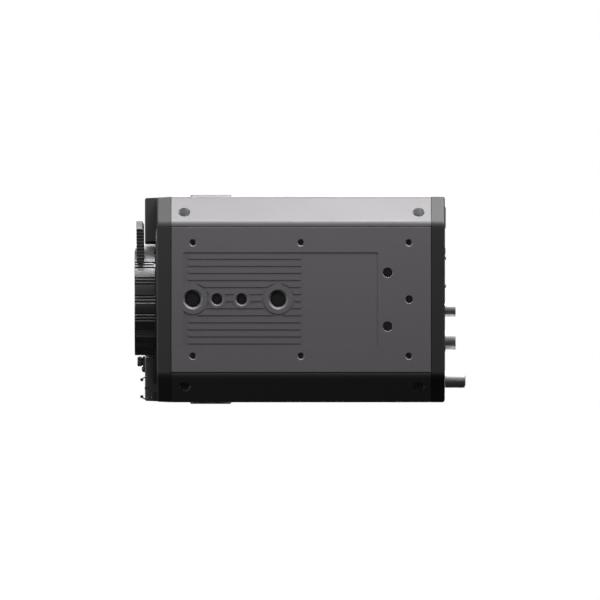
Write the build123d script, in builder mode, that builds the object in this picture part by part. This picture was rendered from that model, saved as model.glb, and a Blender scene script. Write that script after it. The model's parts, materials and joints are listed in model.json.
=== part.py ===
"""Box video camera with a lever-locked lens mount, in millimetres.

X runs across the camera, plus towards the operator's left. Y runs from the lens (minus) to the connectors
(plus). Z is up. The origin is the mouth of the middle 3/8 inch tripod socket, on the camera's base.
"""

import os
from math import atan2, cos, degrees, pi, radians, sin, sqrt

from build123d import *

os.makedirs("parts", exist_ok=True)

# Sizes that everything else follows
body_width = 114.4
body_height = 116.0
chamfer_leg = 14.5
fold_round = 5.4
side_round = 3.0
nose_y = -74.4
land_y = -68.2
front_y = -67.4
front_seam_y = -59.65
rear_seam_y = 85.2
rear_y = 92.7
seam = 0.3
cover_wall = 2.2
plate_wall = 3.6
plate_half = 40.4
frame_wall = 4.2
draft = 2.6

lens_z = body_height / 2
ring_radius = 31.1
ring_front_y = -80.0
ring_rear_y = -68.5
barrel_radius = 27.45
throat_radius = 21.0

half_width = body_width / 2
inner_y = front_seam_y + seam
outer_y = rear_seam_y - seam
body_length = outer_y - inner_y
body_mid_y = (outer_y + inner_y) / 2
chassis_length = rear_seam_y - front_seam_y


def across(y):
    """Plane across the camera at one station, facing the lens end."""
    return Plane.XZ.offset(-y)


def section(y, inset=0.0):
    """The body's eight-sided outline at one station, set in from the outside."""
    leg = chamfer_leg - inset * (2 - sqrt(2))
    with BuildSketch(across(y)) as outline:
        with Locations((0, lens_z)):
            Rectangle(body_width - 2 * inset, body_height - 2 * inset)
        chamfer(outline.vertices(), leg)
        side_x = half_width - inset
        if inset < side_round - 0.5:
            fillet(outline.vertices().filter_by(lambda v: abs(v.X) > side_x - 0.01), side_round - inset)
        if inset < fold_round - 0.5:
            fillet(outline.vertices().filter_by(lambda v: abs(v.X) < side_x - leg + 0.01), fold_round - inset)
    return outline.sketch


def chamfer_face(side, top, y):
    """Plane on a 45 degree face of the body at its screw, facing outwards."""
    reach = 48.5
    rise = reach - (half_width - chamfer_leg)
    z = body_height - rise if top else rise
    return Plane((side * reach, y, z), x_dir=(0, 1, 0), z_dir=(side, 0, 1 if top else -1))


def discs(plane, spots, radius):
    """Circles of one size at several spots of a plane."""
    with BuildSketch(plane) as sketch:
        with Locations(*spots):
            Circle(radius)
    return sketch.sketch


def mouths(part, radius, z):
    """The round edges of one radius at one height, the mouths of holes."""
    found = part.edges().filter_by(GeomType.CIRCLE)
    return found.filter_by(lambda e: abs(e.radius - radius) < 1e-3 and abs(e.center().Z - z) < 1e-3)


# Screw holes and sockets of the base, a bore standing at the middle of its thread
big_radius = 4.35
small_radius = 2.95
m3_radius = 1.45
m4_radius = 1.95
pin_radius = 2.6
big_spots = [(0, 0), (0, -47.4)]
small_spots = [(0, -33.9), (0, -20.2)]
small_depths = (8.0, 8.4)
m3_spots = [(x, y) for x in (-31.5, 31.5) for y in (-47.4, 12.6, 72.6)]
m4_spots = [(0, 72.8)]
pin_spots = [(-15, 60.8), (15, 60.8)]

# Base plate: a milled slab whose threaded bosses stand inside the body
grip_front = -52.6
grip_rear = 55.4
grip_half = 26.2
grip_depth = 0.22
big_land = 8.1
small_land = 5.0
ribs_across = 13
rib_width = 1.9
rib_height = 0.17
rib_pitch = 3.92
rib_front = -50.1
rib_rear = 12.7
plate_break = 0.25
with BuildPart() as bottom_plate:
    with BuildSketch() as plan:
        with Locations((0, body_mid_y)):
            Rectangle(2 * plate_half, body_length)
    extrude(amount=plate_wall)
    chamfer(bottom_plate.faces().sort_by(Axis.Z)[0].edges(), plate_break)
    inside = Plane.XY.offset(plate_wall)
    extrude(discs(inside, big_spots, 8.8), amount=7.4)
    extrude(discs(inside, small_spots, 6.2), amount=6.0)
    extrude(discs(inside, m3_spots, 3.4), amount=4.0)
    extrude(discs(inside, m4_spots, 4.0), amount=5.0)
    extrude(discs(inside, pin_spots, 4.4), amount=4.4)
    with BuildSketch() as grip:
        with Locations((0, (grip_front + grip_rear) / 2)):
            RectangleRounded(2 * grip_half, grip_rear - grip_front, 0.8)
        with Locations(*big_spots):
            Circle(big_land, mode=Mode.SUBTRACT)
        with Locations(*small_spots):
            Circle(small_land, mode=Mode.SUBTRACT)
    extrude(amount=grip_depth, mode=Mode.SUBTRACT)
    with BuildSketch(Plane.XY.offset(grip_depth)) as ribs:
        with Locations((0, (rib_front + rib_rear) / 2)):
            with GridLocations(rib_pitch, 0, ribs_across, 1):
                Rectangle(rib_width, rib_rear - rib_front)
        with Locations(*big_spots):
            Circle(big_land + 1.0, mode=Mode.SUBTRACT)
        with Locations(*small_spots):
            Circle(small_land, mode=Mode.SUBTRACT)
    extrude(amount=-rib_height)
    extrude(discs(Plane.XY, big_spots, big_radius), amount=9.5, mode=Mode.SUBTRACT)
    for spot, depth in zip(small_spots, small_depths):
        extrude(discs(Plane.XY, [spot], small_radius), amount=depth, mode=Mode.SUBTRACT)
    extrude(discs(Plane.XY, m3_spots, m3_radius), amount=6.2, mode=Mode.SUBTRACT)
    extrude(discs(Plane.XY, m4_spots, m4_radius), amount=7.0, mode=Mode.SUBTRACT)
    extrude(discs(Plane.XY, pin_spots, pin_radius), amount=6.0, mode=Mode.SUBTRACT)
    chamfer(mouths(bottom_plate, big_radius, 0), 1.2)
    chamfer(mouths(bottom_plate, small_radius, 0), 0.65)
    chamfer(mouths(bottom_plate, m3_radius, 0), 0.65)
    chamfer(mouths(bottom_plate, m4_radius, 0), 0.45)
    chamfer(mouths(bottom_plate, pin_radius, 0), 0.3)
    # blind holes for the screws that come from inside
    screw_rows = [(side * 37.4, y) for side in (-1, 1) for y in (-40.0, 12.6, 60.0)]
    extrude(discs(inside, screw_rows, 0.85), amount=-2.6, mode=Mode.SUBTRACT)
bottom_plate.part.label = "bottom_plate"
export_step(bottom_plate.part, "parts/bottom_plate.step")

# Top plate: the same slab upside down, with three 1/4 inch sockets and the same small threads
top_spots = [(0, -20.2), (0, 20.2), (0, 60.6)]
with BuildPart() as top_plate:
    with BuildSketch(Plane.XY.offset(body_height)) as plan:
        with Locations((0, body_mid_y)):
            Rectangle(2 * plate_half, body_length)
    extrude(amount=-plate_wall)
    chamfer(top_plate.faces().sort_by(Axis.Z)[-1].edges(), plate_break)
    inside = Plane.XY.offset(body_height - plate_wall)
    outside = Plane.XY.offset(body_height)
    extrude(discs(inside, top_spots, 6.2), amount=-6.0)
    extrude(discs(inside, m3_spots, 3.4), amount=-4.0)
    extrude(discs(outside, top_spots, small_radius), amount=-8.0, mode=Mode.SUBTRACT)
    extrude(discs(outside, m3_spots, m3_radius), amount=-6.2, mode=Mode.SUBTRACT)
    chamfer(mouths(top_plate, small_radius, body_height), 0.65)
    chamfer(mouths(top_plate, m3_radius, body_height), 0.65)
    extrude(discs(inside, screw_rows, 0.85), amount=2.6, mode=Mode.SUBTRACT)
top_plate.part.label = "top_plate"
export_step(top_plate.part, "parts/top_plate.step")

# Side cover: one folded sheet with both chamfers, a low pad, cooling slots and cups for the sunk screws
pad_front = -49.3
pad_rear = -25.8
pad_proud = 0.9
screw_ys = (-52.2, 78.0)
seat_radius = 3.35
seat_depth = 7.6
cup_radius = 4.1
cup_depth = 8.5
room = cup_radius + seam
with BuildPart() as left_cover:
    extrude(section(outer_y), amount=body_length)
    extrude(section(outer_y, cover_wall), amount=body_length, mode=Mode.SUBTRACT)
    with BuildSketch(across(outer_y)) as away:
        with Locations((-half_width / 2, lens_z)):
            Rectangle(half_width + 2 * (plate_half + seam), body_height + 2)
    extrude(amount=body_length, mode=Mode.SUBTRACT)
    with BuildSketch(Plane.YZ.offset(half_width - 0.2)) as pad:
        with Locations(((pad_front + pad_rear) / 2, lens_z)):
            RectangleRounded(pad_rear - pad_front, 58, 2)
    extrude(amount=pad_proud + 0.2, taper=30)
    with BuildSketch(Plane.YZ.offset(half_width)) as slots:
        with Locations((44, lens_z)):
            with GridLocations(0, 4.4, 1, 9):
                SlotOverall(26, 2.2)
    extrude(amount=-2 * cover_wall, mode=Mode.SUBTRACT)
    for top in (False, True):
        for y in screw_ys:
            face = chamfer_face(1, top, y)
            extrude(discs(face, [(0, 0)], cup_radius), amount=-cup_depth)
            extrude(discs(face, [(0, 0)], seat_radius), amount=-seat_depth, mode=Mode.SUBTRACT)
            extrude(discs(face, [(0, 0)], 1.7), amount=-cup_depth, mode=Mode.SUBTRACT)
left_cover.part.label = "left_side_cover"
export_step(left_cover.part, "parts/left_side_cover.step")

with BuildPart() as right_cover:
    mirror(left_cover.part, about=Plane.YZ)
right_cover.part.label = "right_side_cover"
export_step(right_cover.part, "parts/right_side_cover.step")

# Cover screws: button heads with a hexagon socket, two on each chamfer
with BuildPart() as cover_screws:
    for side in (-1, 1):
        for top in (False, True):
            for y in screw_ys:
                seat = chamfer_face(side, top, y).offset(-seat_depth)
                extrude(discs(seat, [(0, 0)], 2.85), amount=0.6)
                extrude(discs(seat.offset(0.6), [(0, 0)], 2.85), amount=0.4, taper=40)
                extrude(discs(seat, [(0, 0)], 1.45), amount=-4.2)
                with BuildSketch(seat.offset(1.0)) as socket:
                    RegularPolygon(1.25, 6)
                extrude(amount=-0.8, mode=Mode.SUBTRACT)
cover_screws.part.label = "cover_screws"
export_step(cover_screws.part, "parts/cover_screws.step")

# Chassis: a cast frame inside the covers, with a front wall that carries the optics and the filter wheel
wheel_z = 38.0
motor_x = 32.0
motor_z = wheel_z + sqrt(38.0 ** 2 - motor_x ** 2)
corner_spots = [(x, z) for x in (-44.0, 44.0) for z in (13.4, body_height - 13.4)]
post_spots = [(x, z) for x in (-38.0, 38.0) for z in (lens_z - 35.0, lens_z + 35.0)]
wall_y = inner_y + 2.5
front_wall = wall_y - front_seam_y
port_spot = (45.8, 36.0)
with BuildPart() as chassis:
    extrude(section(rear_seam_y, cover_wall), amount=chassis_length)
    extrude(section(rear_seam_y, cover_wall + frame_wall), amount=rear_seam_y - wall_y, mode=Mode.SUBTRACT)
    # room for the base and top plates
    for z in (plate_wall / 2, body_height - plate_wall / 2):
        with BuildSketch(across(rear_seam_y)) as slab:
            with Locations((0, z)):
                Rectangle(2 * plate_half + 0.2, plate_wall)
        extrude(amount=chassis_length, mode=Mode.SUBTRACT)
    # open windows under and over the plates' bosses
    with BuildSketch() as window:
        with Locations((0, (wall_y + 78.5) / 2)):
            Rectangle(2 * 35.6, 78.5 - wall_y)
    extrude(amount=body_height, mode=Mode.SUBTRACT)
    # open sides behind the cooling slots
    with BuildSketch(Plane.YZ.offset(-half_width)) as side_window:
        with Locations((13.0, lens_z)):
            RectangleRounded(112, 68, 4)
    extrude(amount=body_width, mode=Mode.SUBTRACT)
    # corner bosses for the castings' screws at their ends and the covers' screws at their sides
    extrude(discs(across(rear_seam_y), corner_spots, 6.5), amount=rear_seam_y - 76.2)
    extrude(discs(across(wall_y + 7.0), corner_spots, 6.5), amount=7.0)
    extrude(section(rear_seam_y, cover_wall), amount=chassis_length, mode=Mode.INTERSECT)
    extrude(discs(across(rear_seam_y), corner_spots, 1.25), amount=4.0, mode=Mode.SUBTRACT)
    extrude(discs(across(front_seam_y), corner_spots, 1.25), amount=-4.0, mode=Mode.SUBTRACT)
    # light path, motor seat, shaft hole and the board posts' threads in the front wall
    extrude(discs(across(wall_y), [(0, lens_z)], 14.0), amount=front_wall, mode=Mode.SUBTRACT)
    extrude(discs(across(wall_y), [(motor_x, motor_z)], 2.6), amount=front_wall, mode=Mode.SUBTRACT)
    extrude(discs(across(wall_y), [(0, wheel_z)], 2.0), amount=front_wall, mode=Mode.SUBTRACT)
    extrude(discs(across(wall_y), post_spots, 1.3), amount=front_wall, mode=Mode.SUBTRACT)
    # rooms for the covers' cups, open sideways so that a cover slides on, and the cover screws' threads
    for side in (-1, 1):
        for top in (False, True):
            for y in screw_ys:
                floor = chamfer_face(side, top, y).offset(-cup_depth - seam)
                low = floor.from_local_coords((0, -room, 0))
                high = floor.from_local_coords((0, room, 0))
                mouth = floor.from_local_coords((0, -room, cup_depth))
                if (low.X - high.X) * side > 0:
                    low, high = high, low
                    mouth = floor.from_local_coords((0, room, cup_depth))
                far_x = side * body_width
                with BuildSketch(across(y + room)) as cup_room:
                    with BuildLine():
                        Polyline(
                            (low.X, low.Z),
                            (high.X, high.Z),
                            (far_x, high.Z),
                            (far_x, mouth.Z),
                            (mouth.X, mouth.Z),
                            close=True,
                        )
                    make_face()
                extrude(amount=2 * room, mode=Mode.SUBTRACT)
                extrude(discs(floor, [(0, 0)], 1.5), amount=-3.4, mode=Mode.SUBTRACT)
    # notch for the square port
    with BuildSketch(across(rear_seam_y)) as notch:
        with Locations(port_spot):
            Rectangle(12.4, 11.6)
    extrude(amount=14.5, mode=Mode.SUBTRACT)
    extrude(discs(Plane.XY, screw_rows, 1.05), amount=body_height, mode=Mode.SUBTRACT)
chassis.part.label = "chassis"
export_step(chassis.part, "parts/chassis.step")

# Plate screws: small pan heads inside, through the chassis into both plates
with BuildPart() as plate_screws:
    flange = cover_wall + frame_wall
    for plane, up in ((Plane.XY.offset(flange), 1), (Plane.XY.offset(body_height - flange), -1)):
        extrude(discs(plane, screw_rows, 1.8), amount=1.3 * up)
        extrude(discs(plane, screw_rows, 0.8), amount=-(flange - plate_wall + 2.4) * up)
plate_screws.part.label = "plate_screws"
export_step(plate_screws.part, "parts/plate_screws.step")

# Front casting: eight-sided shell, low below the lens axis and with a brow above it
brow_z = lens_z + 6.0
pocket_radius = 33.0
land_radius = 39.6
wall_back_y = front_y + 3.5
button_x = -34.5
button_z = 80.0
tally_x = -38.8
tally_z = 91.0
clip_spot = (-49.35, 29.0)
with BuildPart() as front_casting:
    extrude(section(front_seam_y), amount=front_seam_y - nose_y, taper=draft)
    with BuildSketch(across(front_y)) as below_brow:
        with Locations((0, brow_z / 2 - 1)):
            Rectangle(body_width + 2, brow_z + 2)
    extrude(amount=front_y - nose_y + 1, mode=Mode.SUBTRACT)
    front_rims = front_casting.edges().filter_by(lambda e: abs(e.center().Y - nose_y) < 0.01)
    chamfer(front_rims, 0.6)
    low_rims = front_casting.edges().filter_by(lambda e: abs(e.center().Y - front_y) < 0.01)
    fillet(low_rims.filter_by(lambda e: e.center().Z < brow_z - 1), 1.1)
    # raised round land behind the lens mount, its edge rounded
    extrude(discs(across(front_y), [(0, lens_z)], land_radius), amount=front_y - land_y)
    land_rim = front_casting.edges().filter_by(lambda e: abs(e.center().Y - land_y) < 0.01)
    fillet(land_rim.filter_by(GeomType.CIRCLE), 0.6)
    # hollow inside, then the pocket's wall, then the pocket
    extrude(section(front_seam_y, 3.0), amount=front_seam_y - wall_back_y, mode=Mode.SUBTRACT)
    with BuildSketch(across(wall_back_y)) as brow_room:
        with Locations((0, (brow_z + 3.2 + body_height - 4.2) / 2)):
            Rectangle(2 * 41.5, body_height - 4.2 - brow_z - 3.2)
        with Locations((0, lens_z)):
            Circle(pocket_radius + 2.4, mode=Mode.SUBTRACT)
    extrude(amount=wall_back_y - nose_y - 3.0, mode=Mode.SUBTRACT)
    with BuildSketch(across(land_y)) as pocket:
        with Locations((0, lens_z)):
            Circle(pocket_radius)
    extrude(amount=land_y - nose_y + 1, mode=Mode.SUBTRACT)
    pocket_rim = front_casting.edges().filter_by(GeomType.CIRCLE)
    pocket_rim = pocket_rim.filter_by(lambda e: abs(e.radius - pocket_radius) < 0.01)
    chamfer(pocket_rim.filter_by(lambda e: abs(e.center().Y - nose_y) < 0.01), 0.5)
    # seat for the mount barrel's flange, its spigot bore and its screws
    extrude(discs(across(land_y), [(0, lens_z)], 31.2), amount=-1.2, mode=Mode.SUBTRACT)
    extrude(discs(across(land_y), [(0, lens_z)], 24.1), amount=-5.0, mode=Mode.SUBTRACT)
    flange_spots = [(28.9 * cos(radians(a)), lens_z + 28.9 * sin(radians(a))) for a in (20, 110, 200, 290)]
    extrude(discs(across(land_y), flange_spots, 0.85), amount=-5.0, mode=Mode.SUBTRACT)
    # bosses and counterbored holes for the four long screws
    extrude(discs(across(inner_y - seam - 0.1), corner_spots, 4.2), amount=-(wall_back_y - inner_y + seam))
    extrude(discs(across(front_seam_y), corner_spots, 1.6), amount=20, mode=Mode.SUBTRACT)
    extrude(discs(across(front_y + 2.0), corner_spots, 2.9), amount=12, mode=Mode.SUBTRACT)
    # guide of the white balance button, hole of the tally lamp, posts of their small board
    extrude(discs(across(nose_y), [(button_x, button_z)], 3.08), amount=-4, mode=Mode.SUBTRACT)
    extrude(discs(across(nose_y), [(tally_x, tally_z)], 1.3), amount=-4, mode=Mode.SUBTRACT)
    extrude(discs(across(nose_y + 3.0), [(-32.0, 87.0), (-39.5, 84.0)], 1.5), amount=-3.2)
    # thread for the cable clip's screw
    extrude(discs(across(front_y), [clip_spot], 1.0), amount=-3.4, mode=Mode.SUBTRACT)
front_casting.part.label = "front_casting"
export_step(front_casting.part, "parts/front_casting.step")

# Front screws: cap heads sunk in the casting
with BuildPart() as front_screws:
    head = across(front_y + 2.0)
    extrude(discs(head, corner_spots, 2.7), amount=1.7)
    extrude(discs(head, corner_spots, 1.2), amount=-8.4)
    with BuildSketch(head.offset(1.7)) as sockets:
        with Locations(*corner_spots):
            RegularPolygon(1.4, 6)
    extrude(amount=-1.1, mode=Mode.SUBTRACT)
front_screws.part.label = "front_screws"
export_step(front_screws.part, "parts/front_screws.step")

# Mount barrel: turned steel tube with a flange sunk in the front casting and room for a lens's three lugs
face_y = ring_front_y + 0.1
lip_y = face_y + 1.6
with BuildPart() as mount_barrel:
    with BuildSketch(Plane.YZ) as half:
        with BuildLine():
            Polyline(
                (lip_y, lens_z + 24.2),
                (lip_y, lens_z + barrel_radius),
                (land_y, lens_z + barrel_radius),
                (land_y, lens_z + 31.0),
                (land_y + 1.2, lens_z + 31.0),
                (land_y + 1.2, lens_z + 24.0),
                (wall_back_y, lens_z + 24.0),
                (wall_back_y, lens_z + throat_radius),
                (lip_y + 4.2, lens_z + throat_radius),
                (lip_y + 4.2, lens_z + 24.2),
                close=True,
            )
        make_face()
    revolve(axis=Axis((0, 0, lens_z), (0, 1, 0)))
    extrude(discs(across(land_y), flange_spots, 1.05), amount=-1.8, mode=Mode.SUBTRACT)
    extrude(discs(across(land_y), flange_spots, 1.75), amount=-0.6, mode=Mode.SUBTRACT)
    face_spots = [(25.8 * cos(radians(a)), lens_z + 25.8 * sin(radians(a))) for a in range(0, 360, 60)]
    extrude(discs(across(lip_y), face_spots, 0.62), amount=-3.2, mode=Mode.SUBTRACT)
mount_barrel.part.label = "mount_barrel"
export_step(mount_barrel.part, "parts/mount_barrel.step")

# Screws of the barrel's flange, flush in their seats
with BuildPart() as flange_screws:
    seat = across(land_y + 0.6)
    extrude(discs(seat, flange_spots, 1.65), amount=0.55)
    extrude(discs(seat, flange_spots, 0.8), amount=-2.7)
    with BuildSketch(seat.offset(0.55)) as slots:
        with Locations(*flange_spots):
            Rectangle(2.2, 0.45)
    extrude(amount=-0.3, mode=Mode.SUBTRACT)
flange_screws.part.label = "flange_screws"
export_step(flange_screws.part, "parts/flange_screws.step")

# Mount face: thin steel ring the lens seats on, open at three places for the lens's lugs
lug_angles = (30, 150, 270)
with BuildPart() as mount_face:
    with BuildSketch(across(face_y)) as ring_face:
        with Locations((0, lens_z)):
            Circle(29.3)
            Circle(throat_radius, mode=Mode.SUBTRACT)
    extrude(amount=-(lip_y - face_y))
    for angle in lug_angles:
        with BuildSketch(across(face_y)) as lug_room:
            with BuildLine():
                reach = 23.7
                first = (reach * cos(radians(angle - 19)), lens_z + reach * sin(radians(angle - 19)))
                middle = (reach * cos(radians(angle)), lens_z + reach * sin(radians(angle)))
                last = (reach * cos(radians(angle + 19)), lens_z + reach * sin(radians(angle + 19)))
                ThreePointArc(first, middle, last)
                Polyline(last, (0, lens_z), first)
            make_face()
        extrude(amount=-(lip_y - face_y), mode=Mode.SUBTRACT)
    with BuildSketch(across(face_y)) as key_slot:
        with Locations((0, lens_z + 22.5)):
            Rectangle(2.4, 5.0)
    extrude(amount=-(lip_y - face_y), mode=Mode.SUBTRACT)
    rim = mount_face.edges().filter_by(GeomType.CIRCLE)
    chamfer(rim.filter_by(lambda e: abs(e.radius - 29.3) < 0.01 and abs(e.center().Y - face_y) < 0.01), 0.3)
    extrude(discs(across(face_y), face_spots, 0.75), amount=-2, mode=Mode.SUBTRACT)
    extrude(discs(across(face_y), face_spots, 1.3), amount=-0.8, mode=Mode.SUBTRACT)
mount_face.part.label = "mount_face"
export_step(mount_face.part, "parts/mount_face.step")

# Screws of the mount face
with BuildPart() as face_screws:
    seat = across(face_y + 0.8)
    extrude(discs(seat, face_spots, 1.22), amount=0.7)
    extrude(discs(seat, face_spots, 0.6), amount=-3.6)
    with BuildSketch(seat.offset(0.7)) as slots:
        with Locations(*face_spots):
            Rectangle(1.6, 0.35)
    extrude(amount=-0.35, mode=Mode.SUBTRACT)
face_screws.part.label = "face_screws"
export_step(face_screws.part, "parts/face_screws.step")

# Lens lock ring: turned ring running on the barrel, with groups of three V grooves, the lever's notch and the
# three spanner notches in its rear edge
lever_angle = -40.8
groups = 19
group_phase = -89.5
groove_step = 3.3
spanner_notches = [(-36.0, 5.4), (-51.0, 3.5), (-146.0, 3.3)]
notch_floor = 29.4
lever_width = 6.6
lever_front_y = -78.9
lever_rear_y = -74.6
with BuildPart() as lock_ring:
    with BuildSketch(Plane.YZ) as half:
        with BuildLine():
            Polyline(
                (ring_front_y, lens_z + 29.6),
                (ring_front_y, lens_z + ring_radius - 0.3),
                (ring_front_y + 0.3, lens_z + ring_radius),
                (ring_rear_y - 0.2, lens_z + ring_radius),
                (ring_rear_y, lens_z + ring_radius - 0.2),
                (ring_rear_y, lens_z + barrel_radius + 0.07),
                (lip_y + 0.3, lens_z + barrel_radius + 0.07),
                (lip_y + 0.3, lens_z + 29.6),
                close=True,
            )
        make_face()
    revolve(axis=Axis((0, 0, lens_z), (0, 1, 0)))
    with BuildSketch(across(ring_rear_y)) as grooves:
        for n in range(groups):
            middle = group_phase + n * 360 / groups
            if abs((middle - lever_angle + 180) % 360 - 180) > 9.5:
                for k in (-1, 0, 1):
                    with Locations((0, lens_z)):
                        with PolarLocations(ring_radius, 1, start_angle=middle + k * groove_step):
                            Rectangle(0.8, 0.8, rotation=45)
    extrude(amount=ring_rear_y - ring_front_y, mode=Mode.SUBTRACT)
    with BuildSketch(across(ring_rear_y)) as spanner_sketch:
        for angle, wide in spanner_notches:
            with Locations((0, lens_z)):
                with PolarLocations(ring_radius, 1, start_angle=angle):
                    Rectangle(2.4, wide)
    extrude(amount=0.9, mode=Mode.SUBTRACT)
    with BuildSketch(across(lever_rear_y)) as notch:
        with Locations((0, lens_z)):
            with PolarLocations(ring_radius, 1, start_angle=lever_angle):
                Rectangle(2 * (ring_radius - notch_floor), lever_width + 0.02)
    extrude(amount=lever_rear_y - lever_front_y, mode=Mode.SUBTRACT)
lock_ring.part.label = "lens_lock_ring"
export_step(lock_ring.part, "parts/lens_lock_ring.step")

# Lock lever: flat radial arm let into the ring, ribbed for the thumb along its lower side
lever_tip = 55.0
ridge_pitch = 2.32
with BuildPart() as lock_lever:
    with BuildSketch(across(lever_rear_y)) as arm:
        with Locations((0, lens_z)):
            with PolarLocations((notch_floor + lever_tip) / 2, 1, start_angle=lever_angle):
                Rectangle(lever_tip - notch_floor, lever_width)
                for k in range(7):
                    with Locations(((k - 3.15) * ridge_pitch, -lever_width / 2)):
                        Circle(0.62, mode=Mode.SUBTRACT)
    extrude(amount=lever_rear_y - lever_front_y)
    outward = Vector(cos(radians(lever_angle)), 0, sin(radians(lever_angle)))
    end_face = lock_lever.faces().sort_by(lambda f: f.center().dot(outward))[-1]
    rear_edge = end_face.edges().sort_by(Axis.Y)[-1]
    rear_face = lock_lever.faces().sort_by(Axis.Y)[-1]
    chamfer(rear_edge, length=2.8, length2=1.1, reference=rear_face)
    end_face = lock_lever.faces().sort_by(lambda f: f.center().dot(outward))[-1]
    chamfer(end_face.edges().sort_by(Axis.Y)[0:3], 0.3)
lock_lever.part.label = "lock_lever"
export_step(lock_lever.part, "parts/lock_lever.step")

# White balance button: turned cap with a collar behind the brow's wall
button_travel = 0.8
with BuildPart() as balance_button:
    extrude(discs(across(nose_y + 3.3), [(button_x, button_z)], 3.0), amount=4.5)
    extrude(discs(across(nose_y - 1.2), [(button_x, button_z)], 2.4), amount=0.7)
    extrude(discs(across(nose_y - 1.9), [(button_x, button_z)], 2.85), amount=2.4)
    extrude(discs(across(nose_y + 4.1), [(button_x, button_z)], 3.7), amount=0.8)
    rim = balance_button.edges().filter_by(GeomType.CIRCLE).group_by(Axis.Y)[0]
    chamfer(rim, 0.45)
balance_button.part.label = "balance_button"
export_step(balance_button.part, "parts/balance_button.step")

# Tally lamp: small clear dome with its stem
with BuildPart() as tally_lamp:
    extrude(discs(across(nose_y + 3.6), [(tally_x, tally_z)], 1.25), amount=4.0)
    extrude(discs(across(nose_y), [(tally_x, tally_z)], 1.95), amount=1.95)
    fillet(tally_lamp.edges().filter_by(GeomType.CIRCLE).group_by(Axis.Y)[0], 1.6)
tally_lamp.part.label = "tally_lamp"
export_step(tally_lamp.part, "parts/tally_lamp.step")

# Small board behind the brow: the switch under the button and the lamp's light source
board_y = nose_y + 6.2
with BuildPart() as front_board:
    with BuildSketch(across(board_y + 1.0)) as card:
        with Locations((-36.2, 85.2)):
            RectangleRounded(10.0, 18.4, 1)
    extrude(amount=1.0)
    with BuildSketch(across(board_y)) as parts_on_card:
        with Locations((button_x, button_z)):
            Rectangle(4.6, 4.6)
        with Locations((tally_x, tally_z)):
            Rectangle(2.4, 2.4)
    extrude(amount=1.0)
front_board.part.label = "front_switch_board"
export_step(front_board.part, "parts/front_switch_board.step")

# Cable clip: two open loops side by side, bent from one moulded strip with beaded ends
clip_low = 22.0
clip_high = 36.0
clip_x = clip_spot[0]
strip = 0.6
bead_radius = 0.88
loop_radius = 3.05
loop_y = -73.35
outer_bead_angle = 57
inner_bead_angle = 3
with BuildPart() as cable_clip:
    with BuildSketch(Plane.XY.offset(clip_low)) as loops:
        for side in (-1, 1):
            centre = (clip_x + side * loop_radius, loop_y)
            far = (
                centre[0] + side * loop_radius * cos(radians(outer_bead_angle)),
                centre[1] - loop_radius * sin(radians(outer_bead_angle)),
            )
            near = (
                centre[0] - side * loop_radius * cos(radians(inner_bead_angle)),
                centre[1] - loop_radius * sin(radians(inner_bead_angle)),
            )
            with Locations(centre):
                Circle(loop_radius + strip / 2)
                Circle(loop_radius - strip / 2, mode=Mode.SUBTRACT)
            with BuildLine():
                Polyline(
                    centre,
                    (centre[0] + 2 * (far[0] - centre[0]), centre[1] + 2 * (far[1] - centre[1])),
                    (centre[0], loop_y - 3 * loop_radius),
                    (centre[0] + 2 * (near[0] - centre[0]), centre[1] + 2 * (near[1] - centre[1])),
                    close=True,
                )
            make_face(mode=Mode.SUBTRACT)
            with Locations(far, near):
                Circle(bead_radius)
        with Locations((clip_x, (front_y + loop_y + loop_radius) / 2)):
            Rectangle(4.4, front_y - loop_y - loop_radius + 1.2)
        with Locations((clip_x, front_y + 2)):
            Rectangle(20, 4, mode=Mode.SUBTRACT)
    extrude(amount=clip_high - clip_low)
    extrude(discs(across(front_y), [clip_spot], 1.15), amount=12, mode=Mode.SUBTRACT)
    extrude(discs(across(front_y - 1.4), [clip_spot], 1.8), amount=12, mode=Mode.SUBTRACT)
cable_clip.part.label = "cable_clip"
export_step(cable_clip.part, "parts/cable_clip.step")

with BuildPart() as clip_screw:
    seat = across(front_y - 1.4)
    extrude(discs(seat, [clip_spot], 1.65), amount=1.2)
    extrude(discs(seat, [clip_spot], 0.95), amount=-4.6)
    with BuildSketch(seat.offset(1.2)) as cross:
        with Locations(clip_spot):
            Rectangle(1.9, 0.45)
            Rectangle(0.45, 1.9)
    extrude(amount=-0.6, mode=Mode.SUBTRACT)
clip_screw.part.label = "clip_screw"
export_step(clip_screw.part, "parts/clip_screw.step")

# Rear casting: shallow eight-sided frame that holds the connector panel in a step
panel_inset = 4.8
panel_corner = 22.0
panel_y = rear_y - 0.6
panel_wall = 2.0
panel_screw_spots = [(x, z) for x in (-27.0, 27.0) for z in (9.0, body_height - 9.0)]


def panel_outline(y, inset):
    """The connector panel's outline, whose corners are cut further than the body's."""
    with BuildSketch(across(y)) as outline:
        with Locations((0, lens_z)):
            Rectangle(body_width - 2 * inset, body_height - 2 * inset)
        chamfer(outline.vertices(), panel_corner - (inset - panel_inset) * (2 - sqrt(2)))
    return outline.sketch


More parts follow.
